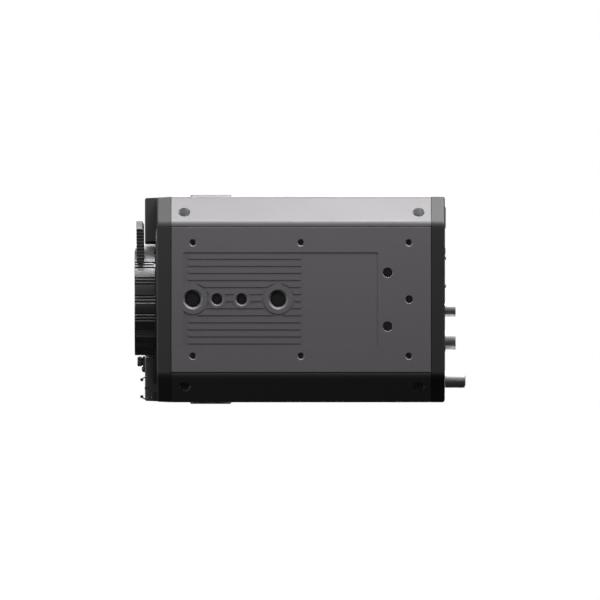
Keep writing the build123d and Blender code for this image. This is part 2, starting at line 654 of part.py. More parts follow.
with BuildPart() as rear_casting:
    extrude(section(rear_seam_y), amount=-(rear_y - rear_seam_y))
    fillet(rear_casting.faces().sort_by(Axis.Y)[-1].edges(), 1.4)
    extrude(section(rear_seam_y, 3.2), amount=-4.6, mode=Mode.SUBTRACT)
    extrude(panel_outline(rear_y + 1, panel_inset - 0.1), amount=1 + 0.6 + panel_wall, mode=Mode.SUBTRACT)
    extrude(panel_outline(rear_y + 1, panel_inset + 1.4), amount=8, mode=Mode.SUBTRACT)
    extrude(discs(across(outer_y + seam + 0.1), corner_spots, 4.2), amount=-4.6)
    extrude(discs(across(outer_y + seam + 0.1), panel_screw_spots, 2.6), amount=-4.8)
    for z in (6.0, body_height - 6.0):
        with BuildSketch(across(outer_y + seam + 0.1)) as webs:
            with Locations((-27.0, z), (27.0, z)):
                Rectangle(5.2, 6.0)
        extrude(amount=-4.8)
    extrude(discs(across(rear_y + 1), corner_spots, 1.6), amount=12, mode=Mode.SUBTRACT)
    extrude(discs(across(rear_y + 1), corner_spots, 2.9), amount=4.4, mode=Mode.SUBTRACT)
    extrude(discs(across(rear_y), panel_screw_spots, 0.9), amount=8, mode=Mode.SUBTRACT)
    with BuildSketch(across(rear_y)) as port_room:
        with Locations(port_spot):
            Rectangle(11.5, 10.6)
    extrude(amount=8, mode=Mode.SUBTRACT)
rear_casting.part.label = "rear_casting"
export_step(rear_casting.part, "parts/rear_casting.step")

with BuildPart() as rear_screws:
    head = across(rear_y - 3.4)
    extrude(discs(head, corner_spots, 2.7), amount=-1.7)
    extrude(discs(head, corner_spots, 1.2), amount=6.7)
    with BuildSketch(head.offset(-1.7)) as sockets:
        with Locations(*corner_spots):
            RegularPolygon(1.4, 6)
    extrude(amount=1.1, mode=Mode.SUBTRACT)
rear_screws.part.label = "rear_screws"
export_step(rear_screws.part, "parts/rear_screws.step")

# Rear panel: plate with the connector holes, warm air slots and the power switch's slot
bnc_x = -44.4
bnc_spots = [(bnc_x, 28.0 + 20.0 * n) for n in range(4)]
remote_spot = (-22.2, 28.0)
power_spot = (-5.4, 28.0)
lamp_spots = [(7.5, 14.0), (23.0, 14.0)]
switch_spot = (-22.2, 92.0)
with BuildPart() as rear_panel:
    extrude(panel_outline(panel_y, panel_inset), amount=panel_wall)
    with BuildSketch(across(panel_y)) as openings:
        with Locations(*bnc_spots):
            Circle(4.9)
        with Locations(remote_spot):
            Circle(5.75)
        with Locations(power_spot):
            Circle(4.35)
        with Locations(port_spot):
            Rectangle(11.5, 10.6)
        with Locations(*lamp_spots):
            Circle(1.1)
        with Locations(switch_spot):
            SlotOverall(13.0, 4.4)
        with Locations((14.0, 66.0)):
            with GridLocations(0, 4.6, 1, 9):
                SlotOverall(44.0, 2.2)
        with Locations(*panel_screw_spots):
            Circle(1.15)
    extrude(amount=panel_wall, mode=Mode.SUBTRACT)
rear_panel.part.label = "rear_panel"
export_step(rear_panel.part, "parts/rear_panel.step")

with BuildPart() as panel_screws:
    extrude(discs(across(panel_y), panel_screw_spots, 1.8), amount=-0.9)
    extrude(discs(across(panel_y), panel_screw_spots, 0.85), amount=4.4)
    with BuildSketch(across(panel_y + 0.9)) as crosses:
        with Locations(*panel_screw_spots):
            Rectangle(2.2, 0.5)
            Rectangle(0.5, 2.2)
    extrude(amount=0.5, mode=Mode.SUBTRACT)
panel_screws.part.label = "panel_screws"
export_step(panel_screws.part, "parts/panel_screws.step")

card_y = 74.0

# Coaxial video connectors: bayonet shells with their insulators and centre contacts
bnc_tip_y = rear_y + 11.5
bnc_radius = 4.8
with BuildPart() as bnc_shells:
    for x, z in bnc_spots:
        with BuildSketch(Plane.XY.offset(z)) as half:
            with BuildLine():
                Polyline(
                    (x + 3.9, bnc_tip_y),
                    (x + bnc_radius - 0.4, bnc_tip_y),
                    (x + bnc_radius, bnc_tip_y - 0.4),
                    (x + bnc_radius, panel_y - panel_wall - 0.6),
                    (x + 6.0, panel_y - panel_wall - 0.6),
                    (x + 6.0, panel_y - panel_wall - 2.6),
                    (x + 5.4, panel_y - panel_wall - 2.6),
                    (x + 5.4, panel_y - 13.0),
                    (x + 3.3, panel_y - 13.0),
                    (x + 3.3, rear_y + 1.0),
                    (x + 3.9, rear_y + 1.0),
                    close=True,
                )
            make_face()
        revolve(axis=Axis((x, 0, z), (0, 1, 0)))
        with BuildSketch(Plane.XY.offset(z - 5.7)) as studs:
            with Locations((x, bnc_tip_y - 4.4)):
                Circle(0.95)
        extrude(amount=11.4)
        with BuildSketch(across(bnc_tip_y)) as socket_bore:
            with Locations((x, z)):
                Circle(3.9)
        extrude(amount=10.5, mode=Mode.SUBTRACT)
bnc_shells.part.label = "bnc_shells"
export_step(bnc_shells.part, "parts/bnc_shells.step")

with BuildPart() as bnc_insulators:
    extrude(discs(across(rear_y + 6.4), bnc_spots, 2.4), amount=6.4 + 0.6 + 12.0)
    extrude(discs(across(rear_y + 0.9), bnc_spots, 3.3), amount=13.5 - 0.6)
    extrude(discs(across(rear_y + 7), bnc_spots, 0.75), amount=30, mode=Mode.SUBTRACT)
bnc_insulators.part.label = "bnc_insulators"
export_step(bnc_insulators.part, "parts/bnc_insulators.step")

with BuildPart() as bnc_contacts:
    extrude(discs(across(rear_y + 6.0), bnc_spots, 0.75), amount=rear_y + 6.0 - card_y - 1.6)
    extrude(discs(across(rear_y + 6.0), bnc_spots, 0.45), amount=4.0, mode=Mode.SUBTRACT)
bnc_contacts.part.label = "bnc_contacts"
export_step(bnc_contacts.part, "parts/bnc_contacts.step")


def round_shell(spot, radius, wall, reach):
    """Round connector shell through the panel, keyed inside, with a flange behind the panel."""
    extrude(discs(across(rear_y + reach), [spot], radius), amount=reach + 0.6 + panel_wall + 9.0)
    extrude(discs(across(panel_y - panel_wall - 0.1), [spot], radius + 1.6), amount=1.6)
    extrude(discs(across(rear_y + reach), [spot], radius - wall), amount=reach + 20, mode=Mode.SUBTRACT)
    with BuildSketch(across(rear_y + reach - 0.8)) as key:
        with Locations((spot[0], spot[1] + radius - wall)):
            Rectangle(1.2, 0.9)
    extrude(key.sketch, amount=4.6)


# Round remote connector and smaller power inlet: keyed metal shells with pin inserts
with BuildPart() as remote_shell:
    round_shell(remote_spot, 5.65, 0.9, 6.0)
remote_shell.part.label = "remote_shell"
export_step(remote_shell.part, "parts/remote_shell.step")

with BuildPart() as power_shell:
    round_shell(power_spot, 4.25, 0.8, 6.0)
power_shell.part.label = "power_shell"
export_step(power_shell.part, "parts/power_shell.step")


def ring_of_pins(spot, pitch_radius, count):
    """Centres of a ring of contact pins round one connector's axis."""
    return [
        (spot[0] + pitch_radius * cos(2 * pi * n / count), spot[1] + pitch_radius * sin(2 * pi * n / count))
        for n in range(count)
    ]


remote_pins = ring_of_pins(remote_spot, 2.9, 7) + [remote_spot]
power_pins = ring_of_pins(power_spot, 1.7, 4)
with BuildPart() as pin_inserts:
    extrude(discs(across(rear_y + 0.4), [remote_spot], 5.65 - 0.9), amount=8.0)
    extrude(discs(across(rear_y + 0.4), [power_spot], 4.25 - 0.8), amount=8.0)
    extrude(discs(across(rear_y + 1), remote_pins + power_pins, 0.4), amount=12, mode=Mode.SUBTRACT)
pin_inserts.part.label = "pin_inserts"
export_step(pin_inserts.part, "parts/pin_inserts.step")

with BuildPart() as contact_pins:
    extrude(discs(across(rear_y + 4.2), remote_pins + power_pins, 0.4), amount=16.0)
contact_pins.part.label = "contact_pins"
export_step(contact_pins.part, "parts/contact_pins.step")

# Square service port: pressed shell with a thin collar, and the tongue inside it
with BuildPart() as port_shell:
    with BuildSketch(across(rear_y + 0.6)) as collar:
        with Locations(port_spot):
            RectangleRounded(12.3, 11.4, 0.6)
    extrude(amount=1.1)
    with BuildSketch(across(rear_y)) as tube:
        with Locations(port_spot):
            Rectangle(11.3, 10.4)
    extrude(amount=rear_y - card_y - 1.6)
    with BuildSketch(across(rear_y + 1)) as cavity:
        with Locations(port_spot):
            Rectangle(10.3, 9.4)
    extrude(amount=15.0, mode=Mode.SUBTRACT)
port_shell.part.label = "port_shell"
export_step(port_shell.part, "parts/port_shell.step")

with BuildPart() as port_tongue:
    with BuildSketch(across(rear_y - 2.0)) as tongue:
        with Locations(port_spot):
            Rectangle(5.8, 3.4)
    extrude(amount=11.8)
    with BuildSketch(across(rear_y - 12.5)) as root:
        with Locations(port_spot):
            Rectangle(10.3, 9.4)
    extrude(amount=1.4)
port_tongue.part.label = "port_tongue"
export_step(port_tongue.part, "parts/port_tongue.step")

# Status lamps: two light pipes that stand just proud of the rear face
with BuildPart() as status_lamps:
    extrude(discs(across(rear_y + 0.7), lamp_spots, 1.08), amount=rear_y + 0.7 - card_y - 2.6)
    chamfer(status_lamps.edges().filter_by(GeomType.CIRCLE).group_by(Axis.Y)[-1], 0.35)
status_lamps.part.label = "status_lamps"
export_step(status_lamps.part, "parts/status_lamps.step")

# Power switch: slide with a ribbed thumb piece in the panel's slot
switch_travel = 4.0
with BuildPart() as power_slider:
    with BuildSketch(across(panel_y + 0.4)) as thumb:
        with Locations((switch_spot[0] - switch_travel / 2, switch_spot[1])):
            SlotOverall(8.4, 4.0)
            with GridLocations(1.5, 0, 3, 1):
                Rectangle(0.5, 3.0, mode=Mode.SUBTRACT)
    extrude(amount=0.6)
    with BuildSketch(across(panel_y - 0.2)) as core:
        with Locations((switch_spot[0] - switch_travel / 2, switch_spot[1])):
            SlotOverall(8.4, 4.0)
    extrude(amount=2.1)
    with BuildSketch(across(panel_y - panel_wall - 0.3)) as skid:
        with Locations((switch_spot[0] - switch_travel / 2, switch_spot[1])):
            Rectangle(11.0, 7.0)
    extrude(amount=1.2)
power_slider.part.label = "power_slider"
export_step(power_slider.part, "parts/power_slider.step")

with BuildPart() as switch_body:
    with BuildSketch(across(panel_y - panel_wall - 2.0)) as body:
        with Locations(switch_spot):
            Rectangle(17.0, 8.0)
    extrude(amount=panel_y - panel_wall - 2.0 - card_y - 1.6)
switch_body.part.label = "switch_body"
export_step(switch_body.part, "parts/switch_body.step")


def card_outline(y, clear=()):
    """Outline of an upright circuit board with its corners cut and holes for the posts."""
    with BuildSketch(across(y)) as card:
        with Locations((0, lens_z)):
            Rectangle(92, 88)
        chamfer(card.vertices(), 6)
        with Locations(*post_spots):
            Circle(1.3, mode=Mode.SUBTRACT)
        for spot, wide, tall in clear:
            with Locations(spot):
                Rectangle(wide, tall, mode=Mode.SUBTRACT)
    return card.sketch


def chips(y, layout, tall):
    """Rectangular chips standing on a board's rear face."""
    with BuildSketch(across(y)) as dies:
        for spot, size in layout:
            with Locations(spot):
                Rectangle(size, size)
    extrude(dies.sketch, amount=-tall)


# Circuit boards: main board behind the prism, power board, connector board at the rear
main_y = -22.0
supply_y = 44.0
with BuildPart() as main_board:
    extrude(card_outline(main_y), amount=1.6)
    chips(main_y, [((0, lens_z), 26), ((-26, 74), 13), ((26, 74), 13), ((26, 38), 11), ((-26, 38), 15)], 1.8)
main_board.part.label = "main_board"
export_step(main_board.part, "parts/main_board.step")

with BuildPart() as supply_board:
    extrude(card_outline(supply_y), amount=1.6)
    chips(supply_y, [((-24, 40), 14), ((-4, 40), 12), ((-24, 76), 16), ((20, 76), 20)], 8.0)
supply_board.part.label = "supply_board"
export_step(supply_board.part, "parts/supply_board.step")

with BuildPart() as connector_board:
    extrude(card_outline(card_y + 1.6, [((14, 68), 40, 34)]), amount=1.6)
connector_board.part.label = "connector_board"
export_step(connector_board.part, "parts/connector_board.step")

# Board posts: threaded spacers between the chassis wall and the boards
with BuildPart() as board_posts:
    for start, end in ((wall_y, main_y - 1.6), (main_y, supply_y - 1.6), (supply_y, card_y)):
        extrude(discs(across(end), post_spots, 2.6), amount=end - start)
    extrude(discs(across(wall_y), post_spots, 1.2), amount=2.3)
    extrude(discs(across(main_y), post_spots, 1.2), amount=1.6)
    extrude(discs(across(supply_y), post_spots, 1.2), amount=1.6)
    extrude(discs(across(card_y + 1.6), post_spots, 1.2), amount=1.6)
    extrude(discs(across(card_y + 3.0), post_spots, 2.4), amount=1.4)
board_posts.part.label = "board_posts"
export_step(board_posts.part, "parts/board_posts.step")

# Heat sink: finned block on the main board's large chip
sink_y = main_y + 1.8
with BuildPart() as heat_sink:
    with BuildSketch(across(sink_y + 4.0)) as base:
        with Locations((0, lens_z)):
            Rectangle(64, 64)
    extrude(amount=4.0)
    with BuildSketch(across(sink_y + 24.0)) as fins:
        with Locations((0, lens_z)):
            with GridLocations(5.2, 0, 13, 1):
                Rectangle(1.3, 64)
    extrude(amount=20.0)
heat_sink.part.label = "heat_sink"
export_step(heat_sink.part, "parts/heat_sink.step")

# Fan: square housing with a spoked seat, and a rotor turning on its pin
fan_y = sink_y + 24.0
with BuildPart() as fan_housing:
    with BuildSketch(across(fan_y + 15.0)) as frame:
        with Locations((0, lens_z)):
            RectangleRounded(60, 60, 4)
            Circle(28.6, mode=Mode.SUBTRACT)
    extrude(amount=15.0)
    with BuildSketch(across(fan_y + 15.0)) as spokes:
        with Locations((0, lens_z)):
            Circle(13.0)
            with PolarLocations(21.5, 4, start_angle=45):
                Rectangle(18, 2.2)
    extrude(amount=2.0)
    extrude(discs(across(fan_y + 13.0), [(0, lens_z)], 1.5), amount=11.5)
fan_housing.part.label = "fan_housing"
export_step(fan_housing.part, "parts/fan_housing.step")

blades = 7
with BuildPart() as fan_rotor:
    extrude(discs(across(fan_y + 12.5), [(0, lens_z)], 13.5), amount=11.5)
    for n in range(blades):
        turn = 360 / blades * n
        hub = Plane(
            (11 * cos(radians(turn)), fan_y + 6.8, lens_z + 11 * sin(radians(turn))),
            x_dir=(-sin(radians(turn)), 0, cos(radians(turn))),
            z_dir=(cos(radians(turn)), 0, sin(radians(turn))),
        )
        with BuildSketch(hub) as root:
            Rectangle(11.0, 1.2, rotation=38)
        with BuildSketch(hub.offset(16.5)) as tip:
            Rectangle(13.0, 1.0, rotation=24)
        loft([root.sketch, tip.sketch])
    extrude(discs(across(fan_y + 20), [(0, lens_z)], 1.56), amount=30, mode=Mode.SUBTRACT)
fan_rotor.part.label = "fan_rotor"
export_step(fan_rotor.part, "parts/fan_rotor.step")

# Filter wheel: toothed disc with one clear hole and three glass filters, turned by a small motor
module = 1.0
wheel_teeth = 64
pinion_teeth = 12
wheel_back_y = front_seam_y - 0.1
wheel_front_y = wheel_back_y - 2.3


def gear_outline(plane, centre, teeth, turn):
    """Outline of a spur gear with straight-flanked teeth."""
    pitch_r = module * teeth / 2
    tip_r = pitch_r + 0.9 * module
    root_r = pitch_r - 1.15 * module
    flank = [(0.11, tip_r), (0.21, pitch_r), (0.31, root_r)]
    tooth = [(-share, r) for share, r in reversed(flank)] + flank
    step = 2 * pi / teeth
    points = []
    for n in range(teeth):
        for share, r in tooth:
            a = radians(turn) + step * (n + share)
            points.append((centre[0] + r * cos(a), centre[1] + r * sin(a)))
    with BuildSketch(plane) as gear:
        with BuildLine():
            Polyline(*points, close=True)
        make_face()
    return gear.sketch


mesh_angle = degrees(atan2(motor_z - wheel_z, motor_x))
wheel_centre = (0, wheel_z)
motor_centre = (motor_x, motor_z)
filter_spots = [(20 * cos(radians(90 * n)), wheel_z + 20 * sin(radians(90 * n))) for n in range(4)]
with BuildPart() as filter_wheel:
    extrude(gear_outline(across(wheel_back_y), wheel_centre, wheel_teeth, mesh_angle), amount=2.3)
    extrude(discs(across(wheel_back_y), [wheel_centre], 5.0), amount=3.1)
    extrude(discs(across(wheel_back_y), filter_spots, 9.0), amount=2.3, mode=Mode.SUBTRACT)
    glass_spots = filter_spots[:1] + filter_spots[2:]
    extrude(discs(across(wheel_back_y - 0.8), glass_spots, 9.8), amount=1.5, mode=Mode.SUBTRACT)
    extrude(discs(across(wheel_back_y), [wheel_centre], 2.06), amount=4, mode=Mode.SUBTRACT)
filter_wheel.part.label = "filter_wheel"
export_step(filter_wheel.part, "parts/filter_wheel.step")

with BuildPart() as filter_glasses:
    extrude(discs(across(wheel_back_y - 0.8), glass_spots, 9.75), amount=1.2)
filter_glasses.part.label = "filter_glasses"
export_step(filter_glasses.part, "parts/filter_glasses.step")

with BuildPart() as wheel_shaft:
    extrude(discs(across(wall_y), [wheel_centre], 2.0), amount=wall_y - wheel_back_y + 4.1)
    extrude(discs(across(wheel_back_y - 3.4), [wheel_centre], 3.2), amount=0.6)
wheel_shaft.part.label = "wheel_shaft"
export_step(wheel_shaft.part, "parts/wheel_shaft.step")

with BuildPart() as filter_pinion:
    turn = mesh_angle + 180 + 180 / pinion_teeth
    extrude(gear_outline(across(wheel_back_y), motor_centre, pinion_teeth, turn), amount=2.3)
    extrude(discs(across(wall_y + 1.5), [motor_centre], 1.0), amount=wall_y + 1.5 - wheel_back_y + 2.3)
filter_pinion.part.label = "filter_pinion"
export_step(filter_pinion.part, "parts/filter_pinion.step")

with BuildPart() as filter_motor:
    extrude(discs(across(wall_y + 14.0), [motor_centre], 7.0), amount=14.0)
    extrude(discs(across(wall_y), [motor_centre], 2.4), amount=2.2)
    extrude(discs(across(wall_y + 2.0), [motor_centre], 1.06), amount=6, mode=Mode.SUBTRACT)
filter_motor.part.label = "filter_motor"
export_step(filter_motor.part, "parts/filter_motor.step")

# Beam splitter: glass block between two cheeks, with an image sensor on each of three faces
prism_front_y = wall_y + 2.1
with BuildPart() as prism_holder:
    with BuildSketch(across(prism_front_y)) as back:
        with Locations((0, lens_z)):
            RectangleRounded(38, 40, 3)
            Circle(12.0, mode=Mode.SUBTRACT)
    extrude(amount=prism_front_y - wall_y)
    with BuildSketch(across(prism_front_y + 16.0)) as cheeks:
        for side in (-1, 1):
            with Locations((side * 14.2, lens_z)):
                Rectangle(2.0, 30)
    extrude(amount=16.0)
prism_holder.part.label = "prism_holder"
export_step(prism_holder.part, "parts/prism_holder.step")

with BuildPart() as prism:
    with BuildSketch(Plane.YZ.offset(-13.1)) as outline:
        with BuildLine():
            Polyline(
                (prism_front_y + 0.1, lens_z - 11),
                (prism_front_y + 0.1, lens_z + 11),
                (prism_front_y + 9, lens_z + 15),
                (prism_front_y + 22, lens_z + 9),
                (prism_front_y + 22, lens_z - 9),
                (prism_front_y + 9, lens_z - 15),
                close=True,
            )
        make_face()
    extrude(amount=26.2)
prism.part.label = "prism_block"
export_step(prism.part, "parts/prism_block.step")

with BuildPart() as sensor_boards:
    for turn in (-1, 0, 1):
        y_mid = prism_front_y + 22 if turn == 0 else prism_front_y + 15.5
        lift = turn * 12.0
        away_y = 1.0 if turn == 0 else sin(radians(24.8))
        away_z = 0.0 if turn == 0 else turn * cos(radians(24.8))
        seat = Plane((0, y_mid, lens_z + lift), x_dir=(1, 0, 0), z_dir=(0, away_y, away_z))
        with BuildSketch(seat.offset(0.05)) as package:
            Rectangle(16, 10)
        extrude(amount=1.6)
        with BuildSketch(seat.offset(1.65)) as carrier:
            Rectangle(24, 13)
        extrude(amount=1.2)
sensor_boards.part.label = "sensor_boards"
export_step(sensor_boards.part, "parts/sensor_boards.step")
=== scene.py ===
"""Box video camera seen from below: looks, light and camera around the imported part, in metres."""

import json
import math

import bmesh
import bpy
from mathutils import Matrix, Vector


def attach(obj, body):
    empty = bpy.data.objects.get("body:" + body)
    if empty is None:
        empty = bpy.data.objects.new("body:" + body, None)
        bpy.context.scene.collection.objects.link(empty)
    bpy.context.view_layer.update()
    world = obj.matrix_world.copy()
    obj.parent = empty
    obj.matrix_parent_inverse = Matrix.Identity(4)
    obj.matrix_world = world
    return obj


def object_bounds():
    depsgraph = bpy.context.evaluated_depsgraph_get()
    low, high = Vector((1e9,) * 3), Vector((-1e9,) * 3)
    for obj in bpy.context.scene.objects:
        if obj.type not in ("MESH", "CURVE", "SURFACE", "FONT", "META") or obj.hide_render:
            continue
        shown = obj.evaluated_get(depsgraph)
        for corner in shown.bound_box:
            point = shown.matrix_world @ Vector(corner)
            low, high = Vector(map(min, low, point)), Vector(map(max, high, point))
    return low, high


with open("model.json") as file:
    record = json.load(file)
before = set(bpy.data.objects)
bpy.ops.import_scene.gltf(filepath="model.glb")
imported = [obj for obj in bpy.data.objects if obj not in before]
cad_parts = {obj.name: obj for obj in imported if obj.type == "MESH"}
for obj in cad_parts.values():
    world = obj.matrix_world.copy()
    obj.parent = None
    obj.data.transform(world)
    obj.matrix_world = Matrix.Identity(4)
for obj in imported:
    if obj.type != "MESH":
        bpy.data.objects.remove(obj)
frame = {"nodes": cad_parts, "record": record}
start_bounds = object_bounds()
scene = bpy.context.scene
scene.view_settings.view_transform = "Standard"


# Base and top plates: aluminium slabs milled from the solid, bead blasted and given a warm grey
# anodised coat, so that the flat is even and satin. They are screwed to the chassis from inside.
class Signal:
    """One output of a node tree. Arithmetic on it adds Math nodes; without a socket it starts a tree."""

    def __init__(self, tree, socket=None):
        self.tree = tree
        self.socket = socket

    def node(self, kind, inputs=None, output=0, **settings):
        """Adds any node, with its settings and its inputs by name or number, and gives one output."""
        made = self.tree.nodes.new(kind)
        for name, value in settings.items():
            setattr(made, name, value)
        for name, value in (inputs or {}).items():
            if isinstance(value, Signal):
                self.tree.links.new(value.socket, made.inputs[name])
            else:
                made.inputs[name].default_value = value
        return Signal(self.tree, made.outputs[output])

    def math(self, operation, *values):
        """Adds a Math node with the given values or outputs as its inputs."""
        return self.node("ShaderNodeMath", dict(enumerate(values)), operation=operation)

    def __add__(self, other):
        return self.math("ADD", self, other)

    def __sub__(self, other):
        return self.math("SUBTRACT", self, other)

    def __rsub__(self, other):
        return self.math("SUBTRACT", other, self)

    def __mul__(self, other):
        return self.math("MULTIPLY", self, other)

    def __pow__(self, other):
        return self.math("POWER", self, other)

    def __abs__(self):
        return self.math("ABSOLUTE", self)

    __radd__ = __add__
    __rmul__ = __mul__

    def clamp(self):
        return self.node("ShaderNodeClamp", {"Value": self})

    def ramp(self, start, end):
        """0 up to start, 1 from end on and even between; start may be the higher of the two."""
        return ((self - start) * (1 / (end - start))).clamp()

    def part(self, axis):
        """The X, Y or Z part of this vector."""
        return self.node("ShaderNodeSeparateXYZ", {0: self}, output=axis)

    def noise(self, waves, stretch=(1, 1, 1)):
        """Noise from 0 to 1 over this vector, in waves per metre."""
        placed = self.node("ShaderNodeMapping", {"Vector": self, "Scale": stretch})
        return self.node("ShaderNodeTexNoise", {"Vector": placed, "Scale": waves, "Detail": 3.0})

    def mix(self, a, b):
        """Colour a where this is 0, colour b where it is 1."""
        return self.node("ShaderNodeMix", {0: self, 6: a, 7: b}, output=2, data_type="RGBA")


def surface(name, colour, rough, grain, depth, metal=0.0, stretch=(1, 1, 1), wear=0.12, bare=None, **fixed):
    """A finish with grain, uneven sheen and faint handling marks.

    grain is in waves per metre and depth in metres; wear is how far the colour strays. bare gives the
    share, colour, metal and roughness of places that look otherwise; fixed are sockets the same all over.
    """
    handling_waves = 26
    handling_sheen = 0.16
    grain_sheen = 0.1
    material = bpy.data.materials.new(name)
    material.use_nodes = True
    tree = material.node_tree
    shader = tree.nodes["Principled BSDF"]
    where = Signal(tree).node("ShaderNodeTexCoord", output="Object")
    fine = where.noise(grain, stretch)
    broad = where.noise(handling_waves)
    shade = ((broad - 0.5) * (2 * wear) + (fine - 0.5) * wear + 0.5).clamp()
    dark = (*(c * (1 - wear) for c in colour), 1.0)
    light = (*(min(1.0, c * (1 + wear)) for c in colour), 1.0)
    paint = shade.mix(dark, light)
    roughness = (broad - 0.5) * handling_sheen + (fine - 0.5) * grain_sheen + rough
    shader.inputs["Metallic"].default_value = metal
    if bare:
        spot = bare(where)
        share = spot["share"]
        paint = share.mix(paint, spot["colour"])
        roughness = roughness * (1 - share) + share * spot["rough"]
        metallic = (share * (spot["metal"] - metal) + metal).clamp()
        tree.links.new(metallic.socket, shader.inputs["Metallic"])
    bump = fine.node("ShaderNodeBump", {"Height": fine, "Strength": 0.5, "Distance": depth})
    tree.links.new(paint.socket, shader.inputs["Base Color"])
    tree.links.new(roughness.clamp().socket, shader.inputs["Roughness"])
    tree.links.new(bump.socket, shader.inputs["Normal"])
    for socket, value in fixed.items():
        shader.inputs[socket.replace("_", " ")].default_value = value
    return material


def dress(material, *nodes):
    """Gives CAD nodes their finish."""
    for node in nodes:
        piece = frame["nodes"][node]
        piece.data.materials.clear()
        piece.data.materials.append(material)


body_height = start_bounds[1].z


def shaded_tapped_holes(where):
    """The threads' walls are cut after the coating and left bare, and are painted darker deeper into the
    bore below each chamfered mouth: painted shade.
    """
    shade_from = 0.0012
    shade_at = 0.0022
    height = where.part("Z")
    under = height.math("MINIMUM", height, body_height - height)
    return {
        "share": under.ramp(shade_from, shade_at),
        "colour": (0.09, 0.09, 0.095, 1),
        "metal": 0.8,
        "rough": 0.4,
    }


plate_grey = surface(
    "plate_grey", (0.118, 0.111, 0.118), rough=0.52, grain=2600, depth=8e-6, wear=0.04, bare=shaded_tapped_holes
)
dress(plate_grey, "bottom_plate", "top_plate")


# Threads of the base's four sockets: 3/8 inch at 16 turns to the inch and 1/4 inch at 20, cut into the
# plate with a tap. The solids have plain bores, so each thread's ridge is wound here on the bore's wall.
inch = 0.0254
steps_per_turn = 36


def thread(name, x, y, mouth, length, crest, root, pitch):
    """One flat-topped ridge, wound inwards from the mouth. The profile's rises are in pitches."""
    profile = ((root, -0.46), (crest, -0.06), (crest, 0.06), (root, 0.46))
    turns = length / pitch
    steps = int(turns * steps_per_turn)
    shape = bmesh.new()
    rows = []
    for i in range(steps + 1):
        angle = 2 * math.pi * turns * i / steps
        z = mouth + length * i / steps
        row = []
        for radius, rise in profile:
            place = (x + radius * math.cos(angle), y + radius * math.sin(angle), z + rise * pitch)
            row.append(shape.verts.new(place))
        rows.append(row)
    for low, high in zip(rows, rows[1:]):
        for k in range(3):
            shape.faces.new((low[k], low[k + 1], high[k + 1], high[k]))
        shape.faces.new((low[3], low[0], high[0], high[3]))
    shape.faces.new(rows[0][::-1])
    shape.faces.new(rows[-1])
    bmesh.ops.recalc_face_normals(shape, faces=shape.faces)
    mesh = bpy.data.meshes.new(name)
    shape.to_mesh(mesh)
    shape.free()
    mesh.materials.append(plate_grey)
    piece = bpy.data.objects.new(name, mesh)
    scene.collection.objects.link(piece)
    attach(piece, "body")


sockets = {mount["name"]: mount["pos_m"] for mount in frame["record"]["mounts"]}
for socket in ("tripod_socket_main", "tripod_socket_front"):
    x, y, _ = sockets[socket]
    thread(
        f"big_thread_{round(-y * 1e4)}",
        x,
        y,
        mouth=0.0022,
        length=0.0064,
        crest=0.00397,
        root=0.0044,
        pitch=inch / 16,
    )
for socket in ("quarter_socket_front", "quarter_socket_rear"):
    x, y, _ = sockets[socket]
    thread(
        f"small_thread_{round(-y * 1e4)}",
        x,
        y,
        mouth=0.0015,
        length=0.0056,
        crest=0.00255,
        root=0.003,
        pitch=inch / 20,
    )


# Side covers: each is one aluminium sheet folded over both chamfers, powder coated in a soft satin
# black with a faint grain, and held to the chassis by two screws on each chamfer.
def screw_cups(where):
    """The deep seats of the cover screws are bored after coating, so their walls stay bright."""
    seat_reach = 0.0485
    seat_rise = 0.0058
    seats_middle = 0.0129
    seats_half_span = 0.0651
    wall_radii = (0.0038, 0.0037)
    wall_depths = (0.00015, 0.000275)
    height = where.part("Z")
    out = seat_reach - abs(where.part("X"))
    up = height.math("MINIMUM", height, body_height - height) - seat_rise
    down_bore = (out + up) * math.sqrt(0.5)
    aside = (up - out) * math.sqrt(0.5)
    along = abs(where.part("Y") - seats_middle) - seats_half_span
    radius = (aside * aside + along * along) ** 0.5
    return {
        "share": radius.ramp(*wall_radii) * down_bore.ramp(*wall_depths),
        "colour": (0.8, 0.8, 0.83, 1),
        "metal": 1.0,
        "rough": 0.5,
    }


cover_grey = surface(
    "cover_grey",
    (0.075, 0.07, 0.075),
    rough=0.42,
    grain=1900,
    depth=12e-6,
    wear=0.05,
    bare=screw_cups,
    Specular_IOR_Level=0.6,
)
dress(cover_grey, "left_side_cover", "right_side_cover")


# Screws: those of the covers and the castings are of blackened steel with hexagon sockets, and those of
# the rear panel and the clip have a cross. The plates' own, inside, are pan heads of plain steel.
black_screw = surface(
    "black_screw", (0.02, 0.02, 0.021), rough=0.32, grain=3000, depth=4e-6, metal=0.6
)
dress(black_screw, "cover_screws", "front_screws", "rear_screws", "panel_screws", "clip_screw")
steel = surface(
    "steel", (0.36, 0.355, 0.35), rough=0.42, grain=3500, depth=3e-6, metal=1.0, stretch=(1, 6, 1)
)
dress(steel, "plate_screws")


# Chassis: an aluminium frame inside the covers, cast in one with the front wall that carries the optics
# and the filter wheel. It is painted black against stray light and shows only through the slots.
frame_black = surface("frame_black", (0.03, 0.03, 0.032), rough=0.5, grain=1500, depth=20e-6, metal=0.4)
dress(frame_black, "chassis")


# Front casting: die-cast aluminium with the brow above the lens and the round pocket around it, coated
# in black paint with a fine leather-like grain, and screwed to the chassis from the front.
def brow_painted_light(where):
    """Painted light: the brow's underside beside the button and the clip is painted paler, standing in for
    light that the lens ring keeps off it.
    """
    right = (-0.027, -0.0361)
    front = (-0.0685, -0.07285)
    under = (0.0655, 0.0645)
    return {
        "share": where.part("X").ramp(*right) * where.part("Y").ramp(*front) * where.part("Z").ramp(*under),
        "colour": (0.15, 0.15, 0.155, 1),
        "metal": 0.0,
        "rough": 0.5,
    }


cast_black = surface(
    "cast_black",
    (0.0375, 0.0375, 0.039),
    rough=0.5,
    grain=2200,
    depth=50e-6,
    wear=0.1,
    bare=brow_painted_light,
    Specular_IOR_Level=0.18,
)
dress(cast_black, "front_casting")


